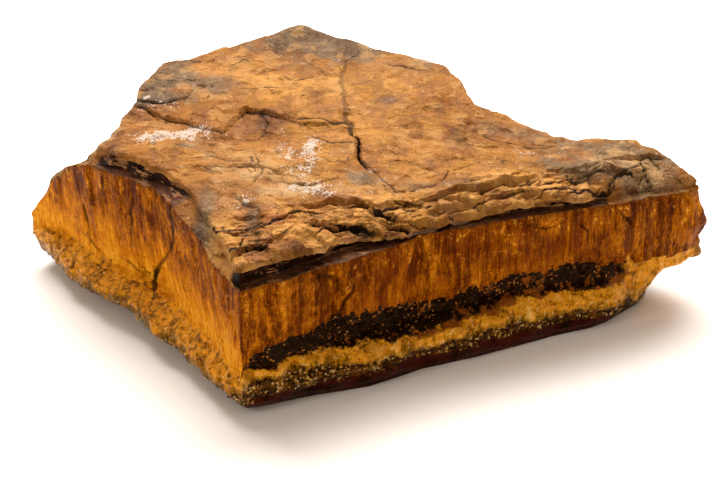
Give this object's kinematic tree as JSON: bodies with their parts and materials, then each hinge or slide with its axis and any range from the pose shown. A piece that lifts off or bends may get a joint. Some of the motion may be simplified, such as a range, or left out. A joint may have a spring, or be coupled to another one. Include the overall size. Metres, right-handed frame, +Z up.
{
  "type": "rough tiger's eye",
  "caption": "Rough slab of banded tiger's eye: golden silky fibres over black, gold and grey bands, under a weathered brown ironstone cap.",
  "frame": {"origin": "on the ground under the middle of the stone's bounding box", "axes": "+Z up; +X along the long banded face to the stone's thin end; -Y the side with the two fresh banded faces"},
  "size_m": [0.1116, 0.0726, 0.0345],
  "materials": {
    "stone": "dull weathered crust on top and below, silky lustre on the fibre faces"
  },
  "bodies": {
    "root": {"stone": "stone"}
  },
  "joints": []
}
